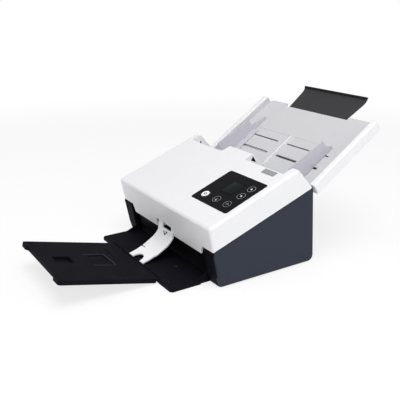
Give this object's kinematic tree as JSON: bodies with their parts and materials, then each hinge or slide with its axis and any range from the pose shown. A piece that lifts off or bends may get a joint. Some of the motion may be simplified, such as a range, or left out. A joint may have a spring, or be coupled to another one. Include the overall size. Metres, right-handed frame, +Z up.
{
  "type": "document scanner",
  "caption": "Sheet-fed document scanner with a front-hinged white cover, a button panel, a rear input tray with side guides and a folding front output tray.",
  "frame": {"origin": "centre of the bounding box, on the plane that the feet stand on, trays open as at rest", "axes": "+Z up, -Y the front where sheets come out, +X to the right as seen from the front"},
  "size_m": [0.32, 0.6284, 0.2607],
  "materials": {
    "black_moulding": "satin",
    "black_panel": "gloss",
    "black_rubber": "matt",
    "bright_steel": "ground",
    "charcoal_tray": "satin",
    "circuit_board": "solder mask",
    "dark_window": "gloss",
    "grey_button": "satin",
    "grey_rubber": "matt",
    "grey_sheet": "satin",
    "lavender_guide": "satin",
    "light_tray": "satin",
    "motor_can": "zinc plated",
    "navy_shell": "fine satin",
    "nylon": "natural",
    "pale_button": "semi-gloss",
    "scan_glass": "clear",
    "sheet_steel": "zinc plated",
    "white_shell": "satin"
  },
  "bodies": {
    "base": {"base_pan": "black_moulding", "dc_jack": "black_moulding", "drive_belt": "black_rubber", "drive_motor": "motor_can", "exit_guide": "black_moulding", "front_left_foot": "black_rubber", "front_right_foot": "black_rubber", "hinge_shaft": "bright_steel", "input_tray": "light_tray", "left_side_cover": "navy_shell", "left_side_frame": "sheet_steel", "lower_paper_guide": "black_moulding", "lower_scan_glass": "scan_glass", "lower_scan_module": "black_moulding", "main_board": "circuit_board", "rear_cover": "navy_shell", "rear_left_foot": "black_rubber", "rear_right_foot": "black_rubber", "right_side_cover": "navy_shell", "right_side_frame": "sheet_steel", "tray_back_cover": "light_tray", "usb_port": "bright_steel"},
    "cover": {"top_cover_shell": "white_shell", "upper_paper_guide": "black_moulding", "upper_scan_module": "black_moulding", "upper_scan_glass": "scan_glass", "control_panel": "black_panel", "display_window": "dark_window", "control_board": "circuit_board"},
    "power_button": {"power_button": "pale_button"},
    "stop_button": {"stop_button": "black_panel"},
    "scan_button": {"scan_button": "black_panel"},
    "down_button": {"down_button": "black_panel"},
    "up_button": {"up_button": "black_panel"},
    "release_button": {"release_button": "grey_button"},
    "separation_roller": {"separation_roller": "grey_rubber"},
    "pinch_roller": {"pinch_roller": "grey_rubber"},
    "motor_rotor": {"motor_pulley": "nylon"},
    "feed_roller": {"feed_roller_pulley": "nylon", "feed_roller_shaft": "bright_steel", "feed_roller_tyre": "grey_rubber"},
    "drive_roller": {"drive_roller_left_tyre": "grey_rubber", "drive_roller_pulley": "nylon", "drive_roller_right_tyre": "grey_rubber", "drive_roller_shaft": "bright_steel"},
    "exit_roller": {"exit_roller_left_tyre": "grey_rubber", "exit_roller_pulley": "nylon", "exit_roller_right_tyre": "grey_rubber", "exit_roller_shaft": "bright_steel"},
    "press_tongue": {"press_tongue": "white_shell"},
    "output_tray": {"output_tray": "charcoal_tray"},
    "output_extension": {"output_extension": "charcoal_tray"},
    "paper_stop": {"paper_stop": "charcoal_tray"},
    "input_extension": {"input_extension": "grey_sheet"},
    "left_side_guide": {"left_side_guide": "lavender_guide"},
    "right_side_guide": {"right_side_guide": "lavender_guide"},
    "guide_pinion": {"guide_pinion": "nylon"}
  },
  "joints": [
    {"name": "cover_hinge", "type": "hinge", "parent": "base", "child": "cover", "pos_m": [0, -0.079, 0.0595], "axis": [1, 0, 0], "range_deg": [0, 60]},
    {"name": "power_button_press", "type": "slide", "parent": "cover", "child": "power_button", "axis": [0, 0.3584, -0.9335], "range_m": [0, 0.0008], "stiffness_N_per_m": 400, "springref_m": -0.001},
    {"name": "stop_button_press", "type": "slide", "parent": "cover", "child": "stop_button", "axis": [0, 0.3584, -0.9335], "range_m": [0, 0.0008], "stiffness_N_per_m": 400, "springref_m": -0.001},
    {"name": "scan_button_press", "type": "slide", "parent": "cover", "child": "scan_button", "axis": [0, 0.3584, -0.9335], "range_m": [0, 0.0008], "stiffness_N_per_m": 400, "springref_m": -0.001},
    {"name": "down_button_press", "type": "slide", "parent": "cover", "child": "down_button", "axis": [0, 0.3584, -0.9335], "range_m": [0, 0.0008], "stiffness_N_per_m": 400, "springref_m": -0.001},
    {"name": "up_button_press", "type": "slide", "parent": "cover", "child": "up_button", "axis": [0, 0.3584, -0.9335], "range_m": [0, 0.0008], "stiffness_N_per_m": 400, "springref_m": -0.001},
    {"name": "release_button_press", "type": "slide", "parent": "cover", "child": "release_button", "axis": [0, 0.3584, -0.9335], "range_m": [0, 0.0012], "stiffness_N_per_m": 400, "springref_m": -0.001},
    {"name": "separation_roller_turn", "type": "hinge", "parent": "cover", "child": "separation_roller", "pos_m": [0, 0.07404, 0.11852], "axis": [1, 0, 0], "continuous": true},
    {"name": "pinch_roller_turn", "type": "hinge", "parent": "cover", "child": "pinch_roller", "pos_m": [0, 0.03892, 0.09897], "axis": [1, 0, 0], "continuous": true},
    {"name": "feed_roller_turn", "type": "hinge", "parent": "base", "child": "feed_roller", "pos_m": [0, 0.08218, 0.09971], "axis": [1, 0, 0], "continuous": true},
    {"name": "drive_roller_turn", "type": "hinge", "parent": "base", "child": "drive_roller", "pos_m": [0, 0.04428, 0.08658], "axis": [1, 0, 0], "continuous": true},
    {"name": "exit_roller_turn", "type": "hinge", "parent": "base", "child": "exit_roller", "pos_m": [0, -0.05064, 0.04659], "axis": [1, 0, 0], "continuous": true},
    {"name": "motor_turn", "type": "hinge", "parent": "base", "child": "motor_rotor", "pos_m": [0, 0.0115, 0.036], "axis": [1, 0, 0], "continuous": true},
    {"name": "output_tray_fold", "type": "hinge", "parent": "base", "child": "output_tray", "pos_m": [0, -0.0735, 0.017], "axis": [1, 0, 0], "range_deg": [-50, 0]},
    {"name": "press_tongue_swing", "type": "hinge", "parent": "base", "child": "press_tongue", "pos_m": [0, -0.079, 0.0595], "axis": [1, 0, 0], "range_deg": [-86, 0]},
    {"name": "output_extension_fold", "type": "hinge", "parent": "output_tray", "child": "output_extension", "pos_m": [0, -0.148, 0.0042], "axis": [-1, 0, 0], "range_deg": [0, 50]},
    {"name": "paper_stop_flip", "type": "hinge", "parent": "output_extension", "child": "paper_stop", "pos_m": [0, -0.26037, 0.03298], "axis": [1, 0, 0], "range_deg": [0, 90]},
    {"name": "input_extension_slide", "type": "slide", "parent": "base", "child": "input_extension", "axis": [0, 0.829, 0.5592], "range_m": [-0.045, 0.012]},
    {"name": "left_guide_slide", "type": "slide", "parent": "base", "child": "left_side_guide", "axis": [1, 0, 0], "range_m": [-0.002, 0.06]},
    {"name": "right_guide_slide", "type": "slide", "parent": "base", "child": "right_side_guide", "axis": [-1, 0, 0], "range_m": [-0.002, 0.06]},
    {"name": "guide_pinion_turn", "type": "hinge", "parent": "base", "child": "guide_pinion", "pos_m": [0, 0.17054, 0.16247], "axis": [0, -0.5592, 0.829], "range_deg": [-13, 383]}
  ],
  "couplings": [
    {"joint": "drive_roller_turn", "follows": "feed_roller_turn", "ratio": 1},
    {"joint": "exit_roller_turn", "follows": "feed_roller_turn", "ratio": 1},
    {"joint": "motor_turn", "follows": "feed_roller_turn", "ratio": 1.3333},
    {"joint": "press_tongue_swing", "follows": "output_tray_fold", "ratio": 1.7},
    {"joint": "right_guide_slide", "follows": "left_guide_slide", "ratio": 1},
    {"joint": "guide_pinion_turn", "follows": "left_guide_slide", "rad_per_m": 111.11}
  ]
}
